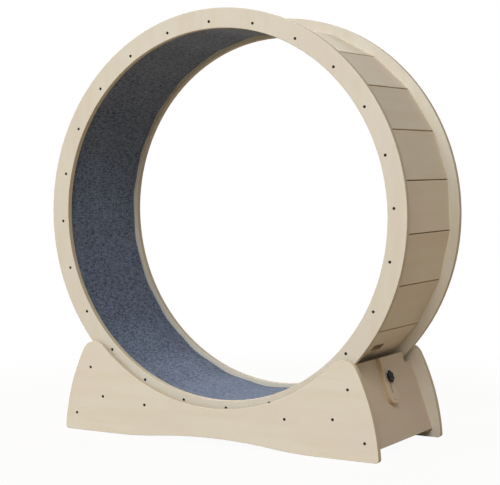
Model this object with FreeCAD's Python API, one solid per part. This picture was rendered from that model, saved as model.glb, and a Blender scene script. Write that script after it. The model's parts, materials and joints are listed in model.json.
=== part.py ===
import FreeCAD, Part
import math
import os

# Cat exercise wheel: a slatted running wheel that lies on four grooved rollers in a plywood stand.
# Origin: on the floor, under the middle of the wheel. X runs along the stand, Y along the wheel's
# axis from front to rear, and Z is up. All lengths are in millimetres and all angles in degrees.

V = FreeCAD.Vector
MIDDLE = V(0, 0, 0)
AXIS_X, AXIS_Y, AXIS_Z = V(1, 0, 0), V(0, 1, 0), V(0, 0, 1)

# ---------------------------------------------------------------- driving dimensions
ply = 15.0                     # sheet of the rings, side plates and roller boards
edge_ease = 1.2                # sanded round on that sheet's cut edges

# the wheel
ring_radius = 500.0            # outer edge of a ring, which runs on the rollers
ring_width = 48.7
run_width = 296.2              # between the rings, which is also the slats' length
slat_count = 24
slat_thick = 9.0
slat_inset = 31.9              # from the ring's outer edge in to the middle of the slats
slat_joint = 0.5               # gap between two slats at their inner edges
slat_ease = 1.0                # chamfer on a slat's long outer edges
mat_thick = 3.5                # carpet glued to the inside of the slats
mat_side_gap = 0.4             # from the carpet's edge to a ring
mat_joint = 0.8                # where the two ends of the carpet strip meet

# the rollers and what carries them
floor_gap = 56.0               # floor to the ring's lowest point
roller_angle = 35.2            # from straight below the wheel's axis to a roller
groove_radius = 20.0           # bottom of a roller's groove, which the ring runs on
flange_height = 5.0
flange_thick = 2.5
flange_ease = 0.8
bearing_radius = 11.0
bearing_bore = 4.0             # radius
bearing_width = 7.0
inner_race = 2.0               # radial wall of a bearing's inner race
hub_bore = 8.5                 # radius of the roller between its two bearings
axle_height = 34.5             # axle above the roller board
bracket_sheet = 2.0
bracket_half_length = 37.0     # half length of a bracket's foot
bracket_eye = 12.0             # half width of a bracket's leg, and the round at its top
bracket_screw_reach = 29.0     # from the middle of the bracket to its screws
axle_head_radius = 7.5
axle_head_thick = 2.4
nut_half_flats = 6.5
nut_thick = 6.5
axle_tail = 2.0                # what shows of the axle past its nut
board_tilt = 4.9               # roller boards rise towards the ends of the stand
board_past_bracket = 5.0       # board beyond the outer end of the bracket
board_ring_gap = 3.0           # least gap from the ring to the board's inner end
board_screw_inset = 19.6       # from the ends of a board to the screws in it

# the stand
plate_gap = 9.3                # from a ring to the side plate beside it
cradle_overlap = 32.0          # how far a ring reaches below the hollow edge of a side plate
horn_radius = 39.0             # round tops of a side plate
side_arc_radius = 534.0        # bowed ends of a side plate
side_arc_drop = 34.6           # centre of that bow below the floor
foot_round = 9.0
arch_half = 285.0              # half the span of the arch between the feet
arch_rise = 15.7
arch_radius = 1500.0           # middle stretch of the arch
panel_lean = 20.06             # end panels lean in at the top
panel_thick = 12.0
panel_ease = 0.8               # sanded round on an end panel's edges
panel_clear = 36.0             # from a roller board's outer end to the end panel
panel_floor_gap = 20.0         # floor to the middle of a panel's lower edge
panel_slat_gap = 10.4          # from a panel's top edge to the circle of the slats' corners
panel_to_end = 27.5            # from a panel's lower edge to the end of the stand
panel_screw_low = 24.9         # lower screw above a panel's lower edge
panel_screw_top = 50.5         # upper screw below a panel's top edge
notch_side_gap = 9.7           # round the ring, where it passes through a panel's top corners
notch_ring_gap = 10.8

# the lock
lock_thick = 11.0
lock_ease = 1.2                # round on the outline of the lock's outer face
tongue_half = 14.5             # half width of the tongue at the top of the lock
tongue_length = 31.0
lock_half = 22.5               # half width of the lock below the tongue, and its round lower end
lock_shoulder = 17.0           # radius of both rounds where the tongue widens
lock_length = 115.5
lock_travel = 37.0             # what the slot in the lock lets it rise by
knob_drop = 50.0               # from the top of the lowered lock down to the knob
finger_hole = 2.6              # radius
finger_hole_rise = 10.0        # above the lock's lower end
slat_slot_half = 28.0          # half length of the slot in the slat
knob_radius = 15.0
knob_lobes = 6
knob_lobe_radius = 4.2
knob_core_radius = 11.6
knob_head = 5.6
knob_dome = 1.4                # round on the knob's top
knob_hub_radius = 7.0
knob_hub = 3.0
stud_radius = 3.0
stud_in_knob = 7.0
stud_past_nut = 1.5
washer_radius = 8.5
washer_thick = 1.2
t_nut_flange_radius = 9.5
t_nut_flange = 1.4
t_nut_barrel_radius = 4.6
t_nut_barrel = 9.0

# the screws
screw_head_radius = 3.6
screw_head_depth = 2.2
screw_radius = 1.9
screw_socket_radius = 1.5
screw_socket_depth = 1.3
ring_screw_length = 40.0
stand_screw_length = 45.0
bracket_screw_length = 12.0
bracket_screw_head = 1.8

# clearances
seat = 0.04                    # between pieces that are glued, pressed or screwed together
hole_slack = 0.4               # round a bolt or stud in its hole, and past a screw's tip
ring_running = 0.3             # from a ring to the bottom of the groove
groove_side_running = 0.5      # from a ring to a flange
race_running = 0.08            # between the two races of a bearing
leg_running = 0.4              # from a roller to a bracket's leg
slide_running = 0.08           # from the lock to the panel and to the washer
stud_running = 0.06            # from the stud to the thread of the T-nut
slot_running = 0.8             # from the tongue to the sides of the slot in the slat
lock_stop_gap = 0.8            # from the raised tongue to a slat that has no slot

# ---------------------------------------------------------------- worked-out sizes
axle_z = ring_radius + floor_gap
half_wheel = run_width / 2 + ply
slat_mid = ring_radius - slat_inset
slat_inner = slat_mid - slat_thick / 2
slat_outer = slat_mid + slat_thick / 2
slat_step = 360.0 / slat_count
half_step = math.radians(slat_step / 2)
slat_half = slat_inner * math.tan(half_step) - slat_joint / 2
slat_corner = math.hypot(slat_outer, slat_half)
plate_inner = half_wheel + plate_gap

roller_y = half_wheel - ply / 2
groove_half = ply / 2 + groove_side_running
roller_half = groove_half + flange_thick
flange_radius = groove_radius + flange_height
roller_reach = ring_radius + ring_running + groove_radius
roller_x = roller_reach * math.sin(math.radians(roller_angle))
roller_z = axle_z - roller_reach * math.cos(math.radians(roller_angle))
leg_inner = roller_half + leg_running
leg_outer = leg_inner + bracket_sheet
board_out = bracket_half_length + board_past_bracket

lock_back = panel_thick / 2 + slide_running
lock_face = lock_back + lock_thick


def turned(x, z, degrees):
    """The point (x, z), turned about the origin from +X towards +Z."""
    a = math.radians(degrees)
    return x * math.cos(a) - z * math.sin(a), x * math.sin(a) + z * math.cos(a)


class Place:
    """A flat frame of the model: its origin's x and z, and how far it is turned in the XZ plane."""

    def __init__(self, x, z, degrees):
        self.x, self.z, self.degrees = x, z, degrees

    def point(self, x, z):
        dx, dz = turned(x, z, self.degrees)
        return self.x + dx, self.z + dz

    def put(self, shape):
        shape = shape.copy()
        shape.rotate(MIDDLE, AXIS_Y, -self.degrees)
        shape.translate(V(self.x, 0, self.z))
        return shape

    def reach(self, start, direction, radius):
        """How far from start, along direction, to the circle of that radius about the wheel's axis,
        or to the point nearest to it."""
        x, z = self.point(*start)
        z -= axle_z
        dx, dz = turned(*direction, self.degrees)
        along = x * dx + z * dz
        return -along - math.sqrt(max(0, along ** 2 - x ** 2 - z ** 2 + radius ** 2))


# Local x of a roller mount runs outwards along the board, with z at the axle. A panel's frame has
# its origin in the middle of the panel's lower edge, x outwards and z up along the panel.
mount = Place(roller_x, roller_z, board_tilt)
board_in = -mount.reach((0, -axle_height), (-1, 0), ring_radius + board_ring_gap)
board_end_x, board_end_z = mount.point(board_out, -axle_height)
lean = math.radians(panel_lean)
panel = Place(board_end_x + panel_clear + panel_thick / 2 / math.cos(lean)
              + (board_end_z - panel_floor_gap) * math.tan(lean), panel_floor_gap, panel_lean)
panel_top = panel.reach((-panel_thick / 2, 0), (0, 1), slat_corner + panel_slat_gap)
notch_bottom = panel.reach((-panel_thick / 2, 0), (0, 1), ring_radius + notch_ring_gap)
notch_side = half_wheel - ply - notch_side_gap
stand_half = panel.x + panel_to_end

# The slotted slat's middle lies where the middle of the tongue meets the slats.
tongue_middle = (lock_back + lock_face) / 2
tongue_z = panel.reach((tongue_middle, 0), (0, 1), slat_mid)
tongue_x_there, tongue_z_there = panel.point(tongue_middle, tongue_z)
slot_angle = math.degrees(math.atan2(tongue_z_there - axle_z, tongue_x_there))
tongue_slant = math.radians(90 + panel_lean - (slot_angle + 180))
slat_slot = (lock_thick / math.cos(tongue_slant) + slat_thick * abs(math.tan(tongue_slant))
             + 2 * slot_running)

knob_z = panel_top - knob_drop
lock_bottom = panel_top - lock_length
board_screws = [mount.point(x, -axle_height - ply / 2)
                for x in (board_in + board_screw_inset, board_out - board_screw_inset)]
panel_screws = [panel.point(0, z) for z in (panel_screw_low, panel_top - panel_screw_top)]


# ---------------------------------------------------------------- helpers
def box(x, y, z):
    """A box from three (low, high) pairs."""
    return Part.makeBox(x[1] - x[0], y[1] - y[0], z[1] - z[0], V(x[0], y[0], z[0]))


def disc(radius, y, x=0, z=0):
    """A cylinder along Y from y[0] to y[1]."""
    return Part.makeCylinder(radius, y[1] - y[0], V(x, y[0], z), AXIS_Y)


def tube(outer, inner, y):
    return disc(outer, y).cut(disc(inner, y))


def pin(radius, x, z=0):
    """A cylinder along X from x[0] to x[1]."""
    return Part.makeCylinder(radius, x[1] - x[0], V(x[0], 0, z), AXIS_X)


def prism(points, y):
    """A polygon of (x, z) points, drawn out along Y from y[0] to y[1]."""
    corners = [V(x, y[0], z) for x, z in points]
    return Part.Face(Part.makePolygon(corners + corners[:1])).extrude(V(0, y[1] - y[0], 0))


def regular(sides, apothem, start):
    """Corners of a regular polygon about the origin, one of them at the angle start."""
    radius = apothem / math.cos(math.pi / sides)
    return [turned(radius, 0, start + k * 360.0 / sides) for k in range(sides)]


def left(shape):
    return shape.mirror(MIDDLE, AXIS_X)


def rear(shape):
    return shape.mirror(MIDDLE, AXIS_Y)


def at(shape, x, z, y=0):
    shape = shape.copy()
    shape.translate(V(x, y, z))
    return shape


def save(name, *solids):
    shape = solids[0] if len(solids) == 1 else Part.makeCompound(solids)
    shape.exportStep("parts/%s.step" % name)
    print("%-28s %3d solids %12.1f mm3" % (name, len(shape.Solids), shape.Volume))


# ---------------------------------------------------------------- screws
def sunk_screw(length, slack=0):
    """A countersunk screw along +Y, its head flush at y = 0. With slack it is the hole for one."""
    head = Part.makeCone(screw_head_radius + slack, screw_radius + slack, screw_head_depth,
                         MIDDLE, AXIS_Y)
    tip = length + (hole_slack if slack else 0)
    screw = head.fuse(disc(screw_radius + slack, (0, tip))).removeSplitter()
    return screw if slack else screw.cut(socket())


def socket():
    """The hexagon socket in a screw's head."""
    return prism(regular(6, screw_socket_radius, 0), (0, screw_socket_depth))


def wheel_places():
    """The middle of each slat, as an angle about the wheel's axis, the slotted one first."""
    return [slot_angle + k * slat_step for k in range(slat_count)]


def ring_screws(slack=0):
    """The front ring's screws, one into the end of each slat."""
    screw = at(sunk_screw(ring_screw_length, slack), slat_mid, 0, -half_wheel)
    return [Place(0, axle_z, angle).put(screw) for angle in wheel_places()]


def stand_screws(slack=0):
    """The front side plate's screws into the end panels and roller boards."""
    screw = sunk_screw(stand_screw_length, slack)
    spots = board_screws + panel_screws
    return [at(screw, side * x, z, -plate_inner - ply) for side in (1, -1) for x, z in spots]


def bracket_screws(slack=0):
    """The two screws of the front right bracket, in the mount's frame."""
    foot_top = bracket_sheet - axle_height
    shank = Part.makeCylinder(screw_radius + slack, bracket_screw_length,
                              V(0, 0, foot_top - bracket_screw_length), AXIS_Z)
    if not slack:
        head = Part.makeCylinder(screw_head_radius, bracket_screw_head, V(0, 0, foot_top), AXIS_Z)
        shank = shank.fuse(head).removeSplitter()
    return [at(shank, side * bracket_screw_reach, 0, -roller_y) for side in (1, -1)]


# ---------------------------------------------------------------- the wheel
def make_ring():
    ring = tube(ring_radius, ring_radius - ring_width, (-half_wheel, -half_wheel + ply))
    rims = [e for e in ring.Edges if isinstance(e.Curve, Part.Circle)]
    ring = ring.makeFillet(edge_ease, rims)
    return at(ring, 0, axle_z).cut(ring_screws(seat))


def make_slat(slotted):
    section = [(slat_inner, -slat_half), (slat_outer - slat_ease, -slat_half),
               (slat_outer, -slat_half + slat_ease), (slat_outer, slat_half - slat_ease),
               (slat_outer - slat_ease, slat_half), (slat_inner, slat_half)]
    half = run_width / 2
    slat = prism(section, (-half, half))
    hole = at(sunk_screw(ring_screw_length, seat), slat_mid, 0, -half_wheel)
    slat = slat.cut([hole, rear(hole)])
    if slotted:
        through = box((slat_inner - 1, slat_outer + 1), (-slat_slot_half, slat_slot_half),
                      (-slat_slot / 2, slat_slot / 2))
        corners = [e for e in through.Edges if abs(e.tangentAt(e.FirstParameter).x) > 0.9]
        slat = slat.cut(through.makeFillet(slat_slot / 4, corners))
    return slat


def make_mat():
    """The carpet strip: it follows the flats of the slats, and its ends meet at one corner."""
    half = run_width / 2 - mat_side_gap
    seam = slot_angle + slat_step / 2
    outside, inside = slat_inner - seat, slat_inner - seat - mat_thick
    mat = prism(regular(slat_count, outside, seam), (-half, half))
    mat = mat.cut(prism(regular(slat_count, inside, seam), (-half, half)))
    joint = box((inside, slat_corner), (-half, half), (-mat_joint / 2, mat_joint / 2))
    return at(mat.cut(Place(0, 0, seam).put(joint)), 0, axle_z)


# ---------------------------------------------------------------- the rollers
def make_roller():
    """A grooved roller about Y, with a pocket for a bearing at each end."""
    half_profile = [
        (hub_bore, 0), (hub_bore, roller_half - bearing_width - seat),
        (bearing_radius + seat, roller_half - bearing_width - seat),
        (bearing_radius + seat, roller_half),
        (flange_radius - flange_ease, roller_half), (flange_radius, roller_half - flange_ease),
        (flange_radius, groove_half + flange_ease), (flange_radius - flange_ease, groove_half),
        (groove_radius, groove_half), (groove_radius, 0)]
    corners = [V(r, y, 0) for r, y in half_profile]
    half = Part.Face(Part.makePolygon(corners + corners[:1])).revolve(MIDDLE, AXIS_Y, 360)
    return half.fuse(rear(half)).removeSplitter()


def make_outer_race():
    """The outer race, with its balls, cage and shields, at the rear end of a roller."""
    return tube(bearing_radius, bearing_bore + inner_race + race_running,
                (roller_half - bearing_width, roller_half))


def make_inner_race():
    return tube(bearing_bore + inner_race, bearing_bore + seat,
                (roller_half - bearing_width, leg_inner - seat))


def make_axle():
    """The axle bolt: its flat head is on the side of the side plate, its nut on the inner side."""
    head = disc(axle_head_radius, (-leg_outer - seat - axle_head_thick, -leg_outer - seat))
    shank = disc(bearing_bore, (-leg_outer - seat, leg_outer + nut_thick + axle_tail))
    return head.fuse(shank).removeSplitter()


def make_axle_nut():
    width = (leg_outer + seat, leg_outer + nut_thick)
    return prism(regular(6, nut_half_flats, 0), width).cut(disc(bearing_bore + seat, width))


def make_bracket():
    """A folded bracket: a foot on the board and a leg on each side of the roller."""
    foot = box((-bracket_half_length, bracket_half_length), (-leg_outer, leg_outer),
               (-axle_height, bracket_sheet - axle_height))
    legs = []
    for leg in ((-leg_outer, -leg_inner), (leg_inner, leg_outer)):
        plate = box((-bracket_eye, bracket_eye), leg, (-axle_height, 0))
        eye = plate.fuse(disc(bracket_eye, leg))
        legs.append(eye.cut(disc(bearing_bore + seat, leg)))
    bracket = at(foot.fuse(legs).removeSplitter(), 0, 0, -roller_y)
    return bracket.cut(bracket_screws(seat))


def in_mount(shape):
    """A roller's piece, made about Y at the origin, put in the front right mount."""
    return mount.put(at(shape, 0, 0, -roller_y))


# ---------------------------------------------------------------- the stand
def circles_meet(a, radius_a, b, radius_b):
    """The right-hand point where two circles in the XZ plane meet."""
    dx, dz = b[0] - a[0], b[1] - a[1]
    apart = math.hypot(dx, dz)
    foot = (apart ** 2 + radius_a ** 2 - radius_b ** 2) / (2 * apart)
    off = math.sqrt(radius_a ** 2 - foot ** 2)
    return max((a[0] + (foot * dx + side * off * dz) / apart,
                a[1] + (foot * dz - side * off * dx) / apart) for side in (1, -1))


def toward(centre, point, radius):
    """The point at that radius from centre, on the line through point."""
    dx, dz = point[0] - centre[0], point[1] - centre[1]
    scale = radius / math.hypot(dx, dz)
    return centre[0] + dx * scale, centre[1] + dz * scale


def arc(start, centre, end):
    """The short arc about centre from start to end."""
    radius = math.hypot(start[0] - centre[0], start[1] - centre[1])
    middle = toward(centre, ((start[0] + end[0]) / 2, (start[1] + end[1]) / 2), radius)
    return Part.Arc(*[V(x, 0, z) for x, z in (start, middle, end)]).toShape()


def line(start, end):
    return Part.makeLine(V(start[0], 0, start[1]), V(end[0], 0, end[1]))


def closed(right, across):
    """A closed wire from the edges on the right, their mirror images and the edges between them."""
    return Part.Wire(Part.__sortEdges__(right + across + [left(e) for e in right]))


def plate_outline():
    """A side plate's outline: hollow cradle, round horns, bowed ends, feet and a shallow arch."""
    axle = (0, axle_z)
    cradle = ring_radius - cradle_overlap
    bow = (stand_half - math.sqrt(side_arc_radius ** 2 - side_arc_drop ** 2), -side_arc_drop)
    horn = circles_meet(axle, cradle + horn_radius, bow, side_arc_radius - horn_radius)
    horn_in, horn_out = toward(axle, horn, cradle), toward(bow, horn, side_arc_radius)

    foot_reach = side_arc_radius - foot_round
    foot = (bow[0] + math.sqrt(foot_reach ** 2 - (foot_round + side_arc_drop) ** 2), foot_round)
    foot_out, foot_in = toward(bow, foot, side_arc_radius), (foot[0], 0)

    swing = 2 * math.atan(arch_rise / arch_half)
    blend_radius = arch_half / math.sin(swing) - arch_radius
    arch = (0, arch_rise - arch_radius)
    arch_end = (arch_radius * math.sin(swing), arch[1] + arch_radius * math.cos(swing))

    right = [arc(horn_in, horn, horn_out), arc(horn_out, bow, foot_out),
             arc(foot_out, foot, foot_in),
             line(foot_in, (arch_half, 0)),
             arc((arch_half, 0), (arch_half, blend_radius), arch_end)]
    across = [arc(horn_in, axle, (-horn_in[0], horn_in[1])),
              arc(arch_end, arch, (-arch_end[0], arch_end[1]))]
    return closed(right, across)


def make_side_plate():
    plate = Part.Face(plate_outline()).extrude(V(0, ply, 0))
    rims = [e for e in plate.Edges if e.BoundBox.YLength < ply / 2]
    plate = at(plate.makeFillet(edge_ease, rims), 0, 0, -plate_inner - ply)
    return plate.cut(stand_screws(seat))


def make_panel(locked):
    """The right end panel, notched where the rings pass. A locked one has a hole for the knob."""
    end = plate_inner - seat
    face = panel_thick / 2
    sheet = box((-face, face), (-end, end), (0, panel_top))
    notch = box((-face, face), (notch_side, end), (notch_bottom, panel_top))
    sheet = sheet.cut([notch, rear(notch)])
    rims = [e for e in sheet.Edges if e.BoundBox.XLength < seat
            and max(abs(e.BoundBox.YMin), abs(e.BoundBox.YMax)) < end - seat
            or e.BoundBox.XLength < seat < e.BoundBox.YLength]
    sheet = sheet.makeFillet(panel_ease, rims)
    if locked:
        barrel = pin(t_nut_barrel_radius + seat, (-face, t_nut_barrel - face), knob_z)
        sheet = sheet.cut([barrel, pin(stud_radius + hole_slack, (-face, face), knob_z)])
    return panel.put(sheet).cut(end_screw_holes())


def end_screw_holes():
    """Holes for all the stand's screws, front and rear."""
    front = stand_screws(seat)
    return front + [rear(hole) for hole in front]


def make_board():
    """The right roller board."""
    end = plate_inner - seat
    board = mount.put(box((board_in, board_out), (-end, end), (-axle_height - ply, -axle_height)))
    front = [mount.put(hole) for hole in bracket_screws(seat)]
    return board.cut(end_screw_holes() + front + [rear(hole) for hole in front])


# ---------------------------------------------------------------- the lock
def lock_outline():
    """The lock board's outline, x across the board: a tongue that widens to a round end."""
    swing = math.acos(1 - (lock_half - tongue_half) / (2 * lock_shoulder))
    drop = lock_shoulder * math.sin(swing)
    neck_z = panel_top - tongue_length
    wide_z, round_z = neck_z - 2 * drop, lock_bottom + lock_half
    turn = ((tongue_half + lock_half) / 2, neck_z - drop)
    right = [line((tongue_half, panel_top), (tongue_half, neck_z)),
             arc((tongue_half, neck_z), (tongue_half + lock_shoulder, neck_z), turn),
             arc(turn, (lock_half - lock_shoulder, wide_z), (lock_half, wide_z)),
             line((lock_half, wide_z), (lock_half, round_z)),
             arc((lock_half, round_z), (0, round_z), (0, lock_bottom))]
    return closed(right, [line((tongue_half, panel_top), (-tongue_half, panel_top))])


def make_lock():
    lock = Part.Face(lock_outline()).extrude(V(0, -lock_thick, 0))
    lock = at(lock, 0, 0, -lock_back)
    outer = [e for e in lock.Edges if e.BoundBox.YMax < seat - lock_face]
    lock = lock.makeFillet(lock_ease, outer)
    lock.rotate(MIDDLE, AXIS_Z, 90)
    depth = (lock_back, lock_face)
    slot = stud_radius + hole_slack
    low = knob_z - lock_travel
    cuts = [pin(slot, depth, knob_z), pin(slot, depth, low), box(depth, (-slot, slot), (low, knob_z)),
            pin(finger_hole, depth, lock_bottom + finger_hole_rise)]
    return panel.put(lock.cut(cuts))


def capped(radius, height, x, y=0, z=0):
    """A cylinder along X from x, with its far edge rounded."""
    body = Part.makeCylinder(radius, height, V(x, y, z), AXIS_X)
    far = [e for e in body.Edges if abs(e.BoundBox.XMin - x - height) < seat
           and e.BoundBox.XLength < seat]
    return body.makeFillet(knob_dome, far)


def make_knob():
    washer_face = lock_face + slide_running + washer_thick + seat
    head = washer_face + knob_hub
    knob = pin(knob_hub_radius, (washer_face, head), knob_z)
    pieces = [capped(knob_core_radius, knob_head, head, 0, knob_z)]
    for k in range(knob_lobes):
        y, z = turned(knob_radius - knob_lobe_radius, 0, 90 + k * 360.0 / knob_lobes)
        pieces.append(capped(knob_lobe_radius, knob_head, head, y, knob_z + z))
    knob = knob.fuse(pieces).removeSplitter()
    return panel.put(knob.cut(pin(stud_radius + seat, (washer_face, washer_face + stud_in_knob
                                                       + seat), knob_z)))


def make_stud():
    inner = -panel_thick / 2 - t_nut_flange - stud_past_nut
    outer = lock_face + slide_running + washer_thick + seat + stud_in_knob
    return panel.put(pin(stud_radius, (inner, outer), knob_z))


def make_washer():
    face = lock_face + slide_running
    washer = pin(washer_radius, (face, face + washer_thick), knob_z)
    return panel.put(washer.cut(pin(stud_radius + seat, (face, face + washer_thick), knob_z)))


def make_t_nut():
    face = -panel_thick / 2 - seat
    nut = pin(t_nut_flange_radius, (face - t_nut_flange, face), knob_z)
    nut = nut.fuse(pin(t_nut_barrel_radius, (face, face + t_nut_barrel), knob_z)).removeSplitter()
    bore = (face - t_nut_flange, face + t_nut_barrel)
    return panel.put(nut.cut(pin(stud_radius + stud_running, bore, knob_z)))


# ---------------------------------------------------------------- all the pieces
def main():
    os.makedirs("parts", exist_ok=True)

    ring = make_ring()
    save("ring_front", ring)
    save("ring_rear", rear(ring))
    screws = ring_screws()
    save("ring_screws_front", *screws)
    save("ring_screws_rear", *[rear(screw) for screw in screws])
    for k, angle in enumerate(wheel_places()):
        name = "slat_%02d" % k if k else "slat_slotted"
        save(name, Place(0, axle_z, angle).put(make_slat(k == 0)))
    save("running_mat", make_mat())

    plate = make_side_plate()
    save("side_plate_front", plate)
    save("side_plate_rear", rear(plate))
    screws = stand_screws()
    save("stand_screws_front", *screws)
    save("stand_screws_rear", *[rear(screw) for screw in screws])
    save("end_panel_right", make_panel(True))
    save("end_panel_left", left(make_panel(False)))
    board = make_board()
    save("roller_board_right", board)
    save("roller_board_left", left(board))

    corners = {"front_right": [], "front_left": [left], "rear_right": [rear],
               "rear_left": [left, rear]}
    roller, bracket = make_roller(), mount.put(make_bracket())
    outer, inner = make_outer_race(), make_inner_race()
    groups = {"axle_bolts": [in_mount(make_axle())], "axle_nuts": [in_mount(make_axle_nut())],
              "bearing_inner_races": [in_mount(inner), in_mount(rear(inner))],
              "bracket_screws": [mount.put(screw) for screw in bracket_screws()]}
    gathered = {name: [] for name in groups}
    for corner, mirrors in corners.items():
        def there(shape):
            for mirror in mirrors:
                shape = mirror(shape)
            return shape
        save("roller_" + corner, there(in_mount(roller)))
        save("bearing_outer_races_" + corner, there(in_mount(outer)), there(in_mount(rear(outer))))
        save("roller_bracket_" + corner, there(bracket))
        for name, shapes in groups.items():
            gathered[name] += [there(shape) for shape in shapes]
    for name, shapes in gathered.items():
        save(name, *shapes)

    save("lock_board", make_lock())
    save("lock_knob", make_knob())
    save("lock_stud", make_stud())
    save("lock_washer", make_washer())
    save("lock_t_nut", make_t_nut())

    rise = panel.point(lock_back, panel_top)
    away = turned(rise[0], rise[1] - axle_z, -slot_angle)[0] - slat_outer
    print("axle", axle_z, "roller", roller_x, roller_z, "ratio", -ring_radius / groove_radius)
    print("stand half length", stand_half, "depth", 2 * (plate_inner + ply))
    print("slot angle", slot_angle, "slot", slat_slot, "knob", panel.point(lock_face, knob_z))
    print("free rise of the lock", (away - lock_stop_gap) / math.cos(tongue_slant))


main()
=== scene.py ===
import json
import math

import bpy
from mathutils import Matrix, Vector


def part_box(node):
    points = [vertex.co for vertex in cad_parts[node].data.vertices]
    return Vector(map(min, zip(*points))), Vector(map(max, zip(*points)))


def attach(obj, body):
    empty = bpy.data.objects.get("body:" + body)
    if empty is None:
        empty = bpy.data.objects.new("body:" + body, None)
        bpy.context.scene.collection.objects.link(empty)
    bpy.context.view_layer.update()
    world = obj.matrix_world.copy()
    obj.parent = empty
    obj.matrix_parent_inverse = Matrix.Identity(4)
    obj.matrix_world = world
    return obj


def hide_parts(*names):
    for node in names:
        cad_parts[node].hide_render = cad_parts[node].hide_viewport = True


# The looks of the cat exercise wheel: its finishes, its carpet and its knob, on the solid model.
# Scene lengths are in metres. The patterns of the finishes are worked out in millimetres.

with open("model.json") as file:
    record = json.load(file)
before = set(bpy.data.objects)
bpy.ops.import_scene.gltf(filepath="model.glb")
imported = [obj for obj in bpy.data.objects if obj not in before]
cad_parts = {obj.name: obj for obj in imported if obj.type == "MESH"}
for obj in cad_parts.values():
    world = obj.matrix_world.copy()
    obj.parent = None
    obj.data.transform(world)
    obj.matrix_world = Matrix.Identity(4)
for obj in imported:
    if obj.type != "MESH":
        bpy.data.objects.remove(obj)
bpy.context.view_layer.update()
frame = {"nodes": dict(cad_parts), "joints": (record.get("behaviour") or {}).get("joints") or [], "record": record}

MM = 0.001
JOINTS = {joint["name"]: joint for joint in frame["joints"]}
WHEEL_AXLE = Vector(JOINTS["wheel_spin"]["pos_m"])
ROLLER_AXLE = Vector(JOINTS["roller_front_right_spin"]["pos_m"])
KNOB_AT = Vector(JOINTS["knob_turn"]["pos_m"])
OUT_OF_PANEL = Vector(JOINTS["knob_turn"]["axis"]).normalized()
UP_PANEL = Vector(JOINTS["lock_slide"]["axis"]).normalized()

# ---------------------------------------------------------------- sizes
SLAT_COUNT = 24
SLAT_LENGTH = 296.2 * MM
SLAT_RADIUS = 468.1 * MM     # wheel's axis to the middle of a slat
FIRST_SLAT = -42.0725        # degrees from +X to the middle of the slotted slat
THICK_SHEET = 15 * MM        # plywood of the rings, side plates and roller boards
PANEL_SHEET = 12 * MM
LOCK_SHEET = 11 * MM
SLAT_SHEET = 9 * MM
LOCK_SLACK = 0.08 * MM       # between the lock and its panel
BOARD_TILT = 4.9             # degrees
BOARD_BELOW_AXLE = 34.5 * MM  # a roller's axle down to the face of its board

CARPET_GAP = 0.4 * MM        # carpet's edge to a ring
CARPET_SEAM = 0.8 * MM       # between the two ends of the strip
CARPET_THICK = 3.1 * MM      # without the tips of the loops
CARPET_LOOPS = 0.75 * MM     # height of the tips of the loops
CARPET_ROWS = 480            # pairs of rows of loops round the wheel
CARPET_COLUMNS = 42          # loops across the strip
CARPET_GLUE = 0.15 * MM      # clear of the slats
CORNER_STARTS = 0.6          # share of a half slat where the carpet leaves the flat
LOOP_SPREAD = (0.55, 1.0)    # height of the loops, as a share of the tallest
SHOULDER = 3.0               # columns over which the carpet's edge is rounded
SHOULDER_DROP = 0.35         # of its thickness

# ---------------------------------------------------------------- the photograph's view
CAMERA_AT = Vector((1.8154, -3.1190, 0.6869))
CAMERA_LOOKS = Vector((-0.50292, 0.86339, -0.04036))
CAMERA_LENS = 103.2          # mm
CAMERA_SENSOR = 36.0         # mm across
CAMERA_SHIFT = (-0.00155, -0.0472)


# ---------------------------------------------------------------- node trees
class Value:
    """A number or vector on a socket. Arithmetic on it adds Math nodes to its tree."""

    def __init__(self, tree, socket):
        self.tree, self.socket = tree, socket

    def __add__(self, other):
        return self.tree.maths("ADD", self, other)

    def __sub__(self, other):
        return self.tree.maths("SUBTRACT", self, other)

    def __rsub__(self, other):
        return self.tree.maths("SUBTRACT", other, self)

    def __mul__(self, other):
        return self.tree.maths("MULTIPLY", self, other)

    def __truediv__(self, other):
        return self.tree.maths("DIVIDE", self, other)

    def __mod__(self, other):
        return self.tree.maths("FLOORED_MODULO", self, other)

    def __gt__(self, other):
        return self.tree.maths("GREATER_THAN", self, other)

    def __lt__(self, other):
        return self.tree.maths("LESS_THAN", self, other)

    def __abs__(self):
        return self.tree.maths("ABSOLUTE", self)

    __radd__, __rmul__ = __add__, __mul__


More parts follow.
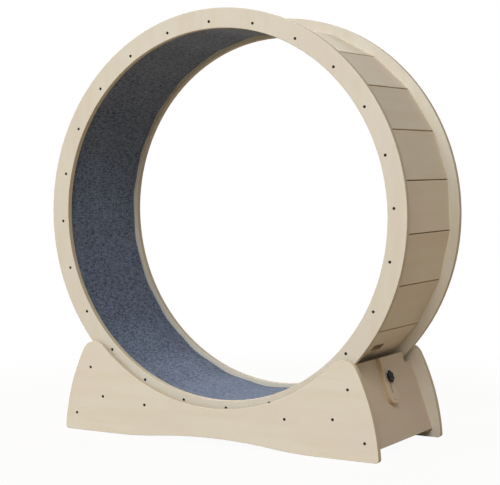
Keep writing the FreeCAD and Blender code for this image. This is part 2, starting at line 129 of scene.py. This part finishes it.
class Tree:
    """A node tree that is being written, of a material or of geometry nodes."""

    def __init__(self, nodes):
        self.tree = nodes

    def node(self, kind, inputs=(), out=0, **settings):
        """Adds a node: its settings first, then the values or links of its sockets."""
        node = self.tree.nodes.new(kind)
        for name, value in settings.items():
            setattr(node, name, value)
        for key, value in dict(inputs).items():
            self.feed(node.inputs[key], value)
        return Value(self, node.outputs[out]) if node.outputs else node

    def feed(self, socket, value):
        if isinstance(value, Value):
            self.tree.links.new(value.socket, socket)
        else:
            socket.default_value = value

    def maths(self, operation, *values):
        return self.node("ShaderNodeMath", enumerate(values), operation=operation)

    def vectors(self, operation, *values):
        return self.node("ShaderNodeVectorMath", enumerate(values), operation=operation)

    def scaled(self, vector, factor):
        return self.node("ShaderNodeVectorMath", {0: vector, "Scale": factor}, operation="SCALE")

    def point(self):
        """Object coordinates in millimetres."""
        return self.scaled(self.node("ShaderNodeTexCoord", out="Object"), 1 / MM)

    def split(self, vector):
        node = self.node("ShaderNodeSeparateXYZ", {0: vector}).socket.node
        return [Value(self, socket) for socket in node.outputs]

    def join(self, x, y, z):
        return self.node("ShaderNodeCombineXYZ", {0: x, 1: y, 2: z})

    def smooth(self, value, low, high, start=0.0, end=1.0):
        """start where value is below low, end where it is above high, and smooth between."""
        inputs = {0: value, 1: low, 2: high, 3: start, 4: end}
        return self.node("ShaderNodeMapRange", inputs, interpolation_type="SMOOTHSTEP")

    def mix(self, share, first, second, blend="MIX"):
        """Two colours mixed by a share."""
        return self.node("ShaderNodeMix", {0: share, 6: first, 7: second}, 2,
                         data_type="RGBA", blend_type=blend)

    def noise(self, vector, scale=1.0, detail=2.0, roughness=0.5):
        """Cloudy noise of a vector, from 0 to 1."""
        return self.node("ShaderNodeTexNoise", {"Vector": vector, "Scale": scale,
                                                "Detail": detail, "Roughness": roughness})

    def chance(self, vector):
        """A random number from 0 to 1 for each value of a vector."""
        return self.node("ShaderNodeTexWhiteNoise", {"Vector": vector})


def srgb(red, green, blue):
    """The colour of a screen value from 0 to 255, as a shader wants it."""
    channels = [channel / 255 for channel in (red, green, blue)]
    return [c / 12.92 if c <= 0.04045 else ((c + 0.055) / 1.055) ** 2.4 for c in channels] + [1.0]


def finish(name, paint):
    """A new material. paint(tree) returns the values of the Principled BSDF's sockets."""
    material = bpy.data.materials.new(name)
    material.use_nodes = True
    material.node_tree.nodes.clear()
    tree = Tree(material.node_tree)
    shader = tree.node("ShaderNodeBsdfPrincipled", paint(tree))
    tree.node("ShaderNodeOutputMaterial", {"Surface": shader})
    return material


def bump(tree, height, strength=1.0):
    """A bump from a height in millimetres."""
    return tree.node("ShaderNodeBump", {"Height": height, "Distance": MM, "Strength": strength})


# ---------------------------------------------------------------- plywood
FACE_PALE = srgb(215, 209, 196)
FACE_WARM = srgb(211, 200, 181)
FACE_ROSE = srgb(214, 203, 192)
FACE_FLECK = srgb(184, 164, 138)
EDGE_LONG = srgb(215, 203, 180)
EDGE_END = srgb(199, 182, 154)
EDGE_GLUE = srgb(158, 134, 104)
PLY = 1.35                   # mm, thickness of one veneer
GLUE_LINE = (0.05, 0.16)     # mm from a joint of two veneers, between which its glue fades
FIBRE = (38, 1.15, 0.9)      # mm: length, width and depth of the fibres
FIGURE = (310, 31)           # mm: length and width of the broad figure
CLOUD = (170, 120)           # mm: length and width of the patches of another tint
FLECK = (5.5, 0.55)          # mm: length and width of the short dark flecks
# Each sheet's own tone, as a share of red, green and blue.
RING_TONE = (0.95, 0.965, 0.96)
PLATE_TONE = (1.02, 1.03, 1.02)
WARM_TONE = (1.0, 0.95, 0.87)
PANEL_TONE = (0.93, 0.84, 0.755)


def veneers(tree, along, across, through, normal_along, normal_across, sheet, tone, seed=0.0,
            tint=0.5):
    """Birch plywood. along, across and through are millimetres in the sheet's own frame, with
    the grain of its faces along and its middle at through = 0. tone darkens and warms it, seed
    picks its pattern and tint, from 0 to 1, makes it a little paler."""
    count = max(3, 2 * round((sheet / PLY - 1) / 2) + 1)
    ply = sheet / count
    depth = (through + sheet / 2) / ply
    layer = tree.maths("FLOOR", tree.maths("MINIMUM", tree.maths("MAXIMUM", depth, 0.01),
                                           count - 0.01))
    turned = layer % 2.0
    with_grain = along + turned * (across - along)
    over_grain = across + turned * (along - across)
    normal = normal_along + turned * (normal_across - normal_along)
    end_grain = normal * normal
    edge = tree.smooth(normal_along * normal_along + normal_across * normal_across, 0.25, 0.75)

    fibre = tree.noise(tree.join(with_grain / FIBRE[0], over_grain / FIBRE[1],
                                 through / FIBRE[2] + seed), 1, 4, 0.62)
    figure = tree.noise(tree.join(with_grain / FIGURE[0], over_grain / FIGURE[1] + fibre * 0.12,
                                  layer + seed), 1, 3, 0.55)
    cloud = tree.noise(tree.join(along / CLOUD[0], across / CLOUD[1], seed + 4.7), 1, 2)
    fleck = tree.noise(tree.join(with_grain / FLECK[0], over_grain / FLECK[1],
                                 layer + seed + 9.1), 1, 1)

    face = tree.mix(tree.smooth(figure, 0.38, 0.72, 0.0, 0.6), FACE_PALE, FACE_WARM)
    face = tree.mix(tree.smooth(cloud, 0.42, 0.66, 0.0, 0.6), face, FACE_ROSE)
    face = tree.mix(tree.smooth(fibre, 0.50, 0.74, 0.0, 0.30), face, FACE_WARM)
    face = tree.mix(tree.smooth(fleck, 0.76, 0.84, 0.0, 0.55), face, FACE_FLECK)
    cut = tree.mix(tree.smooth(end_grain, 0.15, 0.9), EDGE_LONG, EDGE_END)
    cut = tree.mix(tree.smooth(fibre, 0.35, 0.75, 0.0, 0.5), cut, EDGE_END)
    rim = abs(depth - tree.maths("ROUND", depth)) * ply
    glue = tree.smooth(rim, *GLUE_LINE, 0.8, 0.0) * (abs(through) < sheet / 2 - ply / 2)
    cut = tree.mix(glue, cut, EDGE_GLUE)
    colour = tree.mix(1.0, tree.mix(edge, face, cut), [*tone, 1.0], "MULTIPLY")
    colour = tree.scaled(colour, 0.95 + 0.08 * tint)

    relief = fibre * 0.05 - edge * turned * 0.05 - glue * edge * 0.06
    return {"Base Color": colour,
            "Roughness": 0.54 + fibre * 0.14 + edge * end_grain * 0.18,
            "Specular IOR Level": 0.3,
            "Normal": bump(tree, relief, 0.55)}


def sheet_wood(name, sheet, through, grain, origin, lean=0.0, pair="y", seed=0.0,
               tone=(1.0, 1.0, 1.0)):
    """The finish of a pair of flat sheets, one on each side of the middle of the axis pair.
    origin is in the middle of the thickness of the one on the + side, and lean turns its own
    frame in the XZ plane. through and grain are axes of that frame."""
    def paint(tree):
        point = tree.node("ShaderNodeTexCoord", out="Object")
        normal = tree.node("ShaderNodeTexCoord", out="Normal")
        side = tree.maths("SIGN", tree.split(point)["xyz".index(pair)])
        flip = tree.join(*[side if axis == pair else 1.0 for axis in "xyz"])

        def own(vector, start):
            parts = tree.split(tree.node("ShaderNodeMapping", {
                "Vector": tree.vectors("MULTIPLY", vector, flip), "Location": start,
                "Rotation": (0, -math.radians(lean), 0)}, vector_type="TEXTURE"))
            return dict(zip("xyz", parts))

        place, slope = own(point, origin), own(normal, (0, 0, 0))
        over = "xyz".replace(through, "").replace(grain, "")
        return veneers(tree, place[grain] / MM, place[over] / MM, place[through] / MM,
                       slope[grain], slope[over], sheet / MM, tone, side * 2.7 + seed)
    return finish(name, paint)


def slat_wood(name, tone):
    """The finish of the slats, which lie round the wheel with their grain from ring to ring."""
    def paint(tree):
        point = tree.node("ShaderNodeTexCoord", out="Object")
        x, y, z = tree.split(tree.vectors("SUBTRACT", point, WHEEL_AXLE))
        normal = tree.split(tree.node("ShaderNodeTexCoord", out="Normal"))
        step = math.tau / SLAT_COUNT
        angle = tree.maths("ARCTAN2", z, x)
        index = tree.maths("ROUND", (angle - math.radians(FIRST_SLAT)) / step)
        middle = index * step + math.radians(FIRST_SLAT)
        radius = tree.maths("SQRT", x * x + z * z) / MM
        across = radius * tree.maths("SINE", angle - middle)
        through = radius * tree.maths("COSINE", angle - middle) - SLAT_RADIUS / MM
        normal_across = (normal[2] * tree.maths("COSINE", middle)
                         - normal[0] * tree.maths("SINE", middle))
        piece = index % SLAT_COUNT
        seed = tree.chance(tree.join(piece, 1.0, 0.0)) * 40
        tint = tree.chance(tree.join(piece, 2.0, 0.0))
        return veneers(tree, y / MM, across, through, normal[1], normal_across,
                       SLAT_SHEET / MM, tone, seed, tint)
    return finish(name, paint)


# ---------------------------------------------------------------- carpet
CARPET_DARK = srgb(43, 53, 70)
CARPET_MID = srgb(120, 131, 151)
CARPET_PALE = srgb(151, 162, 182)
CARPET_BACK = srgb(64, 50, 38)
STREAKS = (1.7, 0.36)        # of the pile, for each row and for each column
CARPET_WIDTH = SLAT_LENGTH - 2 * CARPET_GAP
SEAM_ANGLE = math.radians(FIRST_SLAT + 180 / SLAT_COUNT)


def carpet_pile(name):
    """Loop pile in staggered rows, each loop in its own shade of slate, with a painted highlight on its top and
    painted shade where it meets the next loop.
    """
    def paint(tree):
        point = tree.node("ShaderNodeTexCoord", out="Object")
        x, y, z = tree.split(tree.vectors("SUBTRACT", point, WHEEL_AXLE))
        turn = tree.maths("ARCTAN2", z, x) / math.tau - SEAM_ANGLE / math.tau
        row = (turn % 1.0) * CARPET_ROWS
        column = y * (CARPET_COLUMNS / CARPET_WIDTH)
        one, other = row + column, row - column
        cell = [tree.maths("ROUND", value) for value in (one, other)]
        off = [value - middle for value, middle in zip((one, other), cell)]
        dome = 1 - 2 * (off[0] * off[0] + off[1] * off[1])

        rib = tree.noise(tree.join(row * STREAKS[0], column * STREAKS[1], 0.0), 1, 3, 0.65)
        yarn = tree.noise(tree.join(x * 900, y * 900, z * 900), 1, 2, 0.7)
        worn = tree.noise(tree.join(row / 46, column / 9, 3.0), 1, 3)
        loop = tree.chance(tree.join(cell[0], cell[1], 0.0))
        fleck = tree.chance(tree.join(cell[0], cell[1], 5.0))

        # The dome term is a painted highlight: the top of each loop is lighter.
        light = rib * 0.8 + loop * 0.2 + yarn * 0.3 + dome * 0.12 + worn * 0.1
        colour = tree.mix(tree.smooth(light, 0.5, 1.02), CARPET_DARK, CARPET_MID)
        colour = tree.mix(tree.smooth(fleck, 0.8, 0.97, 0.0, 0.18), colour, CARPET_PALE)
        # Painted shade: each loop goes darker towards its rim, where it meets the next loop.
        colour = tree.mix(tree.smooth(dome, -0.1, 0.45, 0.4, 0.0), colour, CARPET_DARK)
        normal = tree.node("ShaderNodeTexCoord", out="Normal")
        outwards = tree.vectors("NORMALIZE", tree.join(x, 0.0, z))
        facing_out = tree.node("ShaderNodeVectorMath", {0: normal, 1: outwards}, 1,
                               operation="DOT_PRODUCT")
        colour = tree.mix(tree.smooth(facing_out, 0.3, 0.6), colour, CARPET_BACK)
        return {"Base Color": colour, "Roughness": 0.95, "Specular IOR Level": 0.1,
                "Sheen Weight": 0.6, "Sheen Roughness": 0.4, "Sheen Tint": srgb(202, 213, 236),
                "Normal": bump(tree, dome * 0.4 + yarn * 0.5 + rib * 0.5, 0.4)}
    return finish(name, paint)


def group_input(group, name, kind, value):
    """A named input of a geometry tree, with what it starts as."""
    socket = group.interface.new_socket(name=name, in_out="INPUT", socket_type=kind)
    if kind != "NodeSocketMaterial":
        socket.default_value = value
    return socket.identifier, value


def carpet_tree():
    """Geometry nodes that sweep the carpet's section round the inside of the slats.

    The path runs in the XY plane, so that its normal stays level, and is stood up at the end. It
    follows the flats of the slats, and swings round their corners. Every other point of path and
    section is the tip of a loop."""
    group = bpy.data.node_groups.new("carpet_strip", "GeometryNodeTree")
    chosen = dict([
        group_input(group, "Apothem", "NodeSocketFloat",
                    SLAT_RADIUS - SLAT_SHEET / 2 - CARPET_GLUE),
        group_input(group, "Width", "NodeSocketFloat", CARPET_WIDTH),
        group_input(group, "Thickness", "NodeSocketFloat", CARPET_THICK),
        group_input(group, "Loop Height", "NodeSocketFloat", CARPET_LOOPS),
        group_input(group, "Rows", "NodeSocketInt", CARPET_ROWS),
        group_input(group, "Columns", "NodeSocketInt", CARPET_COLUMNS),
        group_input(group, "Seam", "NodeSocketFloat", CARPET_SEAM),
        group_input(group, "Seed", "NodeSocketInt", 7),
        group_input(group, "Finish", "NodeSocketMaterial", None)])
    group.interface.new_socket(name="Geometry", in_out="OUTPUT",
                               socket_type="NodeSocketGeometry")
    tree = Tree(group)
    given = tree.node("NodeGroupInput").socket.node

    def size(name):
        return Value(tree, given.outputs[name])

    def strand(points):
        """A straight curve with a number of points."""
        line = tree.node("GeometryNodeCurvePrimitiveLine", {"Start": (0, 0, 0), "End": (1, 0, 0)})
        return tree.node("GeometryNodeResampleCurve", {"Curve": line, "Count": points})

    def capture(geometry, value):
        node = group.nodes.new("GeometryNodeCaptureAttribute")
        node.capture_items.new("FLOAT", "Kept")
        tree.feed(node.inputs[0], geometry)
        tree.feed(node.inputs[1], value)
        return Value(tree, node.outputs[0]), Value(tree, node.outputs[1])

    def set_position(geometry, position):
        return tree.node("GeometryNodeSetPosition", {"Geometry": geometry, "Position": position})

    index = tree.node("GeometryNodeInputIndex")

    # path: a circle that follows the flats of the slats
    steps = size("Rows") * 2
    path, step = capture(strand(steps + 1), index)
    gap = size("Seam") / size("Apothem")
    angle = gap / 2 + (math.tau - gap) * (step / steps)
    off_middle = abs((angle * (SLAT_COUNT / math.tau)) % 1.0 - 0.5) * 2
    corner = tree.maths("MAXIMUM", off_middle - CORNER_STARTS, 0.0)
    bulge = off_middle * off_middle - corner * corner / (1 - CORNER_STARTS)
    rise = 1 / math.cos(math.pi / SLAT_COUNT) - 1
    reach = size("Apothem") * (1 + bulge * rise)
    turn = angle + SEAM_ANGLE
    path = set_position(path, tree.join(reach * tree.maths("COSINE", turn),
                                        reach * tree.maths("SINE", turn), 0.0))
    path = tree.node("GeometryNodeSetCurveNormal", {"Curve": path}, mode="Z_UP")

    # section: the pile's face, with rounded shoulders, and one flat back that closes it. Its x
    # runs away from the axis, so the pile lies at minus x.
    across = size("Columns") * 2
    section, place = capture(strand(across + 3), index)
    share = tree.maths("MINIMUM", tree.maths("MAXIMUM", place - 1, 0.0) / across, 1.0)
    near = tree.maths("MINIMUM", place, across + 2 - place)
    high = tree.smooth(near, 0.0, SHOULDER) * SHOULDER_DROP + (near > 0.5) * (1 - SHOULDER_DROP)
    section = set_position(section, tree.join(high * size("Thickness") * -1.0,
                                              (0.5 - share) * size("Width"), 0.0))
    section = tree.node("GeometryNodeSetSplineCyclic", {"Geometry": section, "Cyclic": True})

    strip = tree.node("GeometryNodeCurveToMesh",
                      {"Curve": path, "Profile Curve": section, "Fill Caps": True})

    # the tips of the loops, towards the axis
    tip = ((step + place) % 2.0) * (near > 1.5)
    chance = tree.node("FunctionNodeRandomValue",
                       {2: LOOP_SPREAD[0], 3: LOOP_SPREAD[1], "Seed": size("Seed")}, 1)
    position = tree.node("GeometryNodeInputPosition")
    outwards = tree.vectors("NORMALIZE", tree.vectors("MULTIPLY", position, (1, 1, 0)))
    offset = tree.scaled(outwards, tip * chance * size("Loop Height") * -1.0)
    strip = tree.node("GeometryNodeSetPosition", {"Geometry": strip, "Offset": offset})

    strip = tree.node("GeometryNodeTransform", {
        "Geometry": strip, "Rotation": (math.pi / 2, 0, 0), "Translation": WHEEL_AXLE})
    strip = tree.node("GeometryNodeSetShadeSmooth", {"Geometry": strip})
    strip = tree.node("GeometryNodeRealizeInstances", {"Geometry": strip})
    strip = tree.node("GeometryNodeSetMaterial", {"Geometry": strip, "Material": size("Finish")})
    tree.node("NodeGroupOutput", {0: strip})
    return group, chosen


def grown(name, group, chosen):
    """A plain mesh object from a geometry tree."""
    seed = bpy.data.objects.new(name + "_seed", bpy.data.meshes.new(name + "_seed"))
    bpy.context.scene.collection.objects.link(seed)
    modifier = seed.modifiers.new(name, "NODES")
    modifier.node_group = group
    for identifier, value in chosen.items():
        modifier[identifier] = value
    bpy.context.view_layer.update()
    depsgraph = bpy.context.evaluated_depsgraph_get()
    mesh = bpy.data.meshes.new_from_object(seed.evaluated_get(depsgraph))
    mesh.name = name
    bpy.data.objects.remove(seed)
    piece = bpy.data.objects.new(name, mesh)
    bpy.context.scene.collection.objects.link(piece)
    return piece


def make_carpet(material):
    group, chosen = carpet_tree()
    finish_input = next(key for key, value in chosen.items() if value is None)
    chosen[finish_input] = material
    carpet = grown("carpet", group, chosen)
    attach(carpet, "wheel")
    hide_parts("running_mat")
    return carpet


# ---------------------------------------------------------------- the other finishes
def black_screw(tree):
    """Black steel, rubbed on its high spots."""
    point = tree.point()
    grain = tree.noise(point, 2.2, 3, 0.6)
    rubbed = tree.smooth(tree.noise(point, 0.8, 2), 0.55, 0.8, 0.0, 0.5)
    return {"Base Color": tree.mix(rubbed, srgb(38, 34, 31), srgb(74, 68, 62)),
            "Metallic": 0.65, "Roughness": 0.36 + grain * 0.2,
            "Normal": bump(tree, grain * 0.02, 0.5)}


def steel(tree, pale, streaks, rough):
    """Bright steel with a dull bloom. streaks are the fineness of its marks along each axis."""
    point = tree.point()
    marks = tree.noise(tree.vectors("MULTIPLY", point, streaks), 1, 4, 0.65)
    bloom = tree.noise(point, 0.09, 3, 0.55)
    dull = [channel * 0.72 for channel in pale[:3]] + [1.0]
    colour = tree.mix(tree.smooth(bloom, 0.35, 0.7, 0.0, 0.65), pale, dull)
    colour = tree.mix(tree.smooth(marks, 0.45, 0.8, 0.0, 0.4), colour, dull)
    return {"Base Color": colour, "Metallic": 1.0, "Roughness": rough + marks * 0.18,
            "Normal": bump(tree, marks * 0.02, 0.4)}


def bracket_steel(tree):
    return steel(tree, srgb(196, 198, 202), (0.12, 2.4, 0.12), 0.28)


def bearing_steel(tree):
    return steel(tree, srgb(188, 188, 190), (1.5, 0.08, 1.5), 0.16)


def plated_steel(tree):
    return steel(tree, srgb(190, 192, 198), (0.9, 0.9, 0.9), 0.24)


ROLLER_TRACK = (7.6, 20.6)   # mm: half width and radius of the groove that the wheel polishes


def roller_nylon(tree):
    """Turned nylon: fine rings round the roller's axle, polished where the wheel runs."""
    point = tree.node("ShaderNodeTexCoord", out="Object")
    x, y, z = tree.split(point)
    sides = tree.join(tree.maths("SIGN", x), tree.maths("SIGN", y), 1.0)
    middle = (ROLLER_AXLE.x, abs(ROLLER_AXLE.y), ROLLER_AXLE.z)
    own = tree.vectors("SUBTRACT", tree.vectors("MULTIPLY", point, sides), middle)
    x, y, z = [axis / MM for axis in tree.split(own)]
    radius = tree.maths("SQRT", x * x + z * z)
    turning = tree.noise(tree.join(radius * 2.4, y * 2.4, 0.0), 1, 3, 0.6)
    grain = tree.noise(tree.join(x, y, z), 3.0, 2)
    track = (abs(y) < ROLLER_TRACK[0]) * (radius < ROLLER_TRACK[1])
    shade = tree.smooth(turning, 0.35, 0.75, 0.0, 0.6)
    return {"Base Color": tree.mix(shade, srgb(52, 53, 56), srgb(76, 77, 80)),
            "Roughness": 0.5 + grain * 0.12 - track * 0.18,
            "Normal": bump(tree, turning * 0.05 + grain * 0.015, 0.6)}


def knob_plastic(tree):
    """Moulded plastic with a fine spark-eroded grain, a little shinier where it is handled."""
    point = tree.point()
    grain = tree.noise(point, 4.5, 3, 0.7)
    handled = tree.smooth(tree.noise(point, 0.35, 2), 0.4, 0.7, 0.0, 0.7)
    return {"Base Color": tree.mix(handled, srgb(22, 22, 24), srgb(33, 33, 35)),
            "Roughness": 0.62 + grain * 0.18 - handled * 0.1, "Specular IOR Level": 0.22,
            "Normal": bump(tree, grain * 0.045, 0.7)}


# ---------------------------------------------------------------- the knob
KNOB_LOBES = 6
KNOB_TIP = 14.9 * MM         # radius to the tip of a lobe
KNOB_HOLLOW = 11.4 * MM      # radius to the hollow between two lobes
KNOB_HUB = 6.9 * MM          # radius of the hub under the head, and of the dish in its face
KNOB_AROUND = 144            # points round the knob
# Rings of the knob, from its seat to the middle of its face: height above the seat in
# millimetres, size, and whether the ring is lobed (1) or round (0).
KNOB_RINGS = [(0.0, 0.93, 0), (0.3, 1.0, 0), (2.3, 1.0, 0), (2.8, 1.08, 0), (3.0, 1.25, 0),
              (3.0, 0.90, 1), (3.1, 0.955, 1), (3.5, 0.99, 1), (4.1, 1.0, 1), (6.4, 1.0, 1),
              (7.3, 0.985, 1), (8.0, 0.945, 1), (8.4, 0.885, 1), (8.58, 0.80, 1),
              (8.6, 1.16, 0), (8.55, 1.05, 0), (8.2, 0.99, 0), (7.8, 0.95, 0), (7.7, 0.88, 0),
              (7.7, 0.70, 0), (7.85, 0.64, 0), (8.3, 0.60, 0), (8.5, 0.52, 0), (8.58, 0.36, 0)]


def knob_radius(turn, size, lobed):
    """The knob's radius at an angle from the middle of a lobe: wide lobes, narrower hollows."""
    if not lobed:
        return KNOB_HUB * size
    wave = 0.5 + 0.5 * math.cos(KNOB_LOBES * turn)
    return (KNOB_HOLLOW + (KNOB_TIP - KNOB_HOLLOW) * wave ** 0.8) * size


def make_knob(material):
    """A lobed knob on a hub, with a raised button in a dish."""
    solid = frame["nodes"]["lock_knob"]
    seat = min(OUT_OF_PANEL.dot(vertex.co - KNOB_AT) for vertex in solid.data.vertices)
    sideways = OUT_OF_PANEL.cross(UP_PANEL)

    def at(height, radius, turn):
        round_axis = (UP_PANEL * math.cos(turn) + sideways * math.sin(turn)) * radius
        return KNOB_AT + OUT_OF_PANEL * (seat + height * MM) + round_axis

    points = [at(height, knob_radius(k * math.tau / KNOB_AROUND, size, lobed),
                 k * math.tau / KNOB_AROUND)
              for height, size, lobed in KNOB_RINGS for k in range(KNOB_AROUND)]
    faces = [[row + k, row + (k + 1) % KNOB_AROUND, row + KNOB_AROUND + (k + 1) % KNOB_AROUND,
              row + KNOB_AROUND + k]
             for row in range(0, len(points) - KNOB_AROUND, KNOB_AROUND)
             for k in range(KNOB_AROUND)]
    for ring, order in ((0, 1), (len(KNOB_RINGS) - 1, -1)):
        middle, start = len(points), ring * KNOB_AROUND
        points.append(at(KNOB_RINGS[ring][0], 0, 0))
        faces += [[middle, start + (k + 1) % KNOB_AROUND, start + k][::order]
                  for k in range(KNOB_AROUND)]
    mesh = bpy.data.meshes.new("knob")
    mesh.from_pydata(points, [], faces)
    mesh.shade_smooth()
    mesh.materials.append(material)
    knob = bpy.data.objects.new("knob", mesh)
    bpy.context.scene.collection.objects.link(knob)
    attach(knob, "knob")
    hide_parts("lock_knob")


# ---------------------------------------------------------------- stage, lamps and camera
FLOOR_HALF = 30.0            # metres from its middle to its edge
FLOOR_LEVEL = -0.4 * MM      # a little under the feet
FLOOR_COLOUR = (0.53, 0.43, 0.305, 1.0)
FLOOR_WHITE = 0.955          # share of the floor's look that is plain white, round the object
FLOOR_FADES = (0.7, 1.8)     # metres from the middle, between which the floor goes all white
ROOM_COLOUR = (1.0, 0.955, 0.88, 1.0)
ROOM_LIGHT = 0.15
LAMP_AIM = (0, 0, 0.55)
LAMP_AWAY = 14.0
# Each lamp: degrees round from the front towards the right, degrees up, side of its square, and
# what a white matt card that faces it sends back.
LAMPS = {"key_lamp": (-30, 42, 6.0, 0.58), "side_lamp": (24, 40, 6.0, 0.50),
         "rear_lamp": (-145, 27, 6.0, 0.48)}


def pale_rays(tree, shader, pale, share):
    """The shader as it is for light, and mixed with plain white for what looks at it."""
    rays = tree.node("ShaderNodeLightPath").socket.node.outputs
    camera, glossy, through = [Value(tree, rays["Is %s Ray" % kind])
                               for kind in ("Camera", "Glossy", "Transmission")]
    seen = tree.maths("MAXIMUM", camera, tree.maths("MAXIMUM", glossy, through))
    return tree.node("ShaderNodeMixShader", {0: seen * share, 1: shader, 2: pale})


def make_floor():
    mesh = bpy.data.meshes.new("floor")
    corners = [(-1, -1), (1, -1), (1, 1), (-1, 1)]
    mesh.from_pydata([(x * FLOOR_HALF, y * FLOOR_HALF, FLOOR_LEVEL) for x, y in corners], [],
                     [(0, 1, 2, 3)])
    material = bpy.data.materials.new("floor")
    material.use_nodes = True
    material.node_tree.nodes.clear()
    tree = Tree(material.node_tree)
    matt = tree.node("ShaderNodeBsdfDiffuse", {"Color": FLOOR_COLOUR})
    white = tree.node("ShaderNodeEmission", {"Color": (1, 1, 1, 1), "Strength": 1.0})
    place = tree.node("ShaderNodeTexCoord", out="Object")
    away = tree.node("ShaderNodeVectorMath", {0: place}, 1, operation="LENGTH")
    share = tree.smooth(away, *FLOOR_FADES, FLOOR_WHITE, 1.0)
    tree.node("ShaderNodeOutputMaterial", {"Surface": pale_rays(tree, matt, white, share)})
    mesh.materials.append(material)
    floor = bpy.data.objects.new("floor", mesh)
    bpy.context.scene.collection.objects.link(floor)


def make_world():
    world = bpy.data.worlds.new("studio")
    bpy.context.scene.world = world
    world.use_nodes = True
    world.node_tree.nodes.clear()
    tree = Tree(world.node_tree)
    soft = tree.node("ShaderNodeBackground", {"Color": ROOM_COLOUR, "Strength": ROOM_LIGHT})
    white = tree.node("ShaderNodeBackground", {"Color": (1, 1, 1, 1), "Strength": 1.0})
    tree.node("ShaderNodeOutputWorld", {"Surface": pale_rays(tree, soft, white, 1.0)})


def make_lamp(name, round_to_right, up, size, level):
    """A square area lamp that faces the middle of the wheel."""
    azimuth, height = math.radians(round_to_right), math.radians(up)
    away = Vector((math.sin(azimuth) * math.cos(height), -math.cos(azimuth) * math.cos(height),
                   math.sin(height)))
    light = bpy.data.lights.new(name, "AREA")
    light.shape, light.size = "SQUARE", size
    light.energy = level * (math.pi * LAMP_AWAY) ** 2
    lamp = bpy.data.objects.new(name, light)
    lamp.location = Vector(LAMP_AIM) + away * LAMP_AWAY
    lamp.rotation_mode = "QUATERNION"
    lamp.rotation_quaternion = (-away).to_track_quat("-Z", "Y")
    bpy.context.scene.collection.objects.link(lamp)


def make_camera():
    data = bpy.data.cameras.new("camera")
    data.sensor_width, data.lens = CAMERA_SENSOR, CAMERA_LENS
    data.shift_x, data.shift_y = CAMERA_SHIFT
    camera = bpy.data.objects.new("camera", data)
    camera.location = CAMERA_AT
    camera.rotation_mode = "QUATERNION"
    camera.rotation_quaternion = CAMERA_LOOKS.to_track_quat("-Z", "Y")
    bpy.context.scene.collection.objects.link(camera)
    bpy.context.scene.camera = camera


# ---------------------------------------------------------------- the finishes, by name
PANEL_MIDDLE = KNOB_AT - OUT_OF_PANEL * (LOCK_SHEET + LOCK_SLACK + PANEL_SHEET / 2)
PANEL_LEAN = math.degrees(math.atan2(OUT_OF_PANEL.z, OUT_OF_PANEL.x))
LOCK_MIDDLE = KNOB_AT - OUT_OF_PANEL * (LOCK_SHEET / 2)
UP_BOARD = Vector((-math.sin(math.radians(BOARD_TILT)), 0, math.cos(math.radians(BOARD_TILT))))
BOARD_MIDDLE = (ROLLER_AXLE - Vector((0, ROLLER_AXLE.y, 0))
                - UP_BOARD * (BOARD_BELOW_AXLE + THICK_SHEET / 2))
PLATE_MIDDLE = (0, sum(corner.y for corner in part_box("side_plate_rear")) / 2, 0)
RING_MIDDLE = (0, abs(ROLLER_AXLE.y), 0)

FINISHES = {
    "ring_plywood": sheet_wood("ring_plywood", THICK_SHEET, "y", "z", RING_MIDDLE,
                                tone=RING_TONE),
    "stand_plywood": sheet_wood("stand_plywood", THICK_SHEET, "y", "x", PLATE_MIDDLE, seed=3,
                                 tone=PLATE_TONE),
    "board_plywood": sheet_wood("board_plywood", THICK_SHEET, "z", "y", BOARD_MIDDLE, BOARD_TILT,
                                pair="x", seed=6),
    "panel_plywood": sheet_wood("panel_plywood", PANEL_SHEET, "x", "y", PANEL_MIDDLE, PANEL_LEAN,
                                pair="x", seed=9, tone=PANEL_TONE),
    "lock_plywood": sheet_wood("lock_plywood", LOCK_SHEET, "x", "z", LOCK_MIDDLE, PANEL_LEAN,
                               pair="x", seed=12, tone=PANEL_TONE),
    "slat_plywood": slat_wood("slat_plywood", WARM_TONE),
    "carpet": carpet_pile("carpet"),
    "black_screws": finish("black_screws", black_screw),
    "roller_nylon": finish("roller_nylon", roller_nylon),
    "bearing_steel": finish("bearing_steel", bearing_steel),
    "bracket_steel": finish("bracket_steel", bracket_steel),
    "plated_steel": finish("plated_steel", plated_steel),
    "knob_plastic": finish("knob_plastic", knob_plastic),
}


# ---------------------------------------------------------------- put together
def dress_solids():
    """Gives every solid piece its finish."""
    for part in frame["record"]["subparts"]:
        node = frame["nodes"][part["node"]]
        board = part["node"].startswith("roller_board")
        node.data.materials.clear()
        node.data.materials.append(FINISHES["board_plywood" if board else part["material_slot"]])


bpy.context.scene.view_settings.view_transform = "Standard"
make_camera()
make_world()
make_floor()
for lamp_name, setting in LAMPS.items():
    make_lamp(lamp_name, *setting)
dress_solids()
make_carpet(FINISHES["carpet"])
make_knob(FINISHES["knob_plastic"])
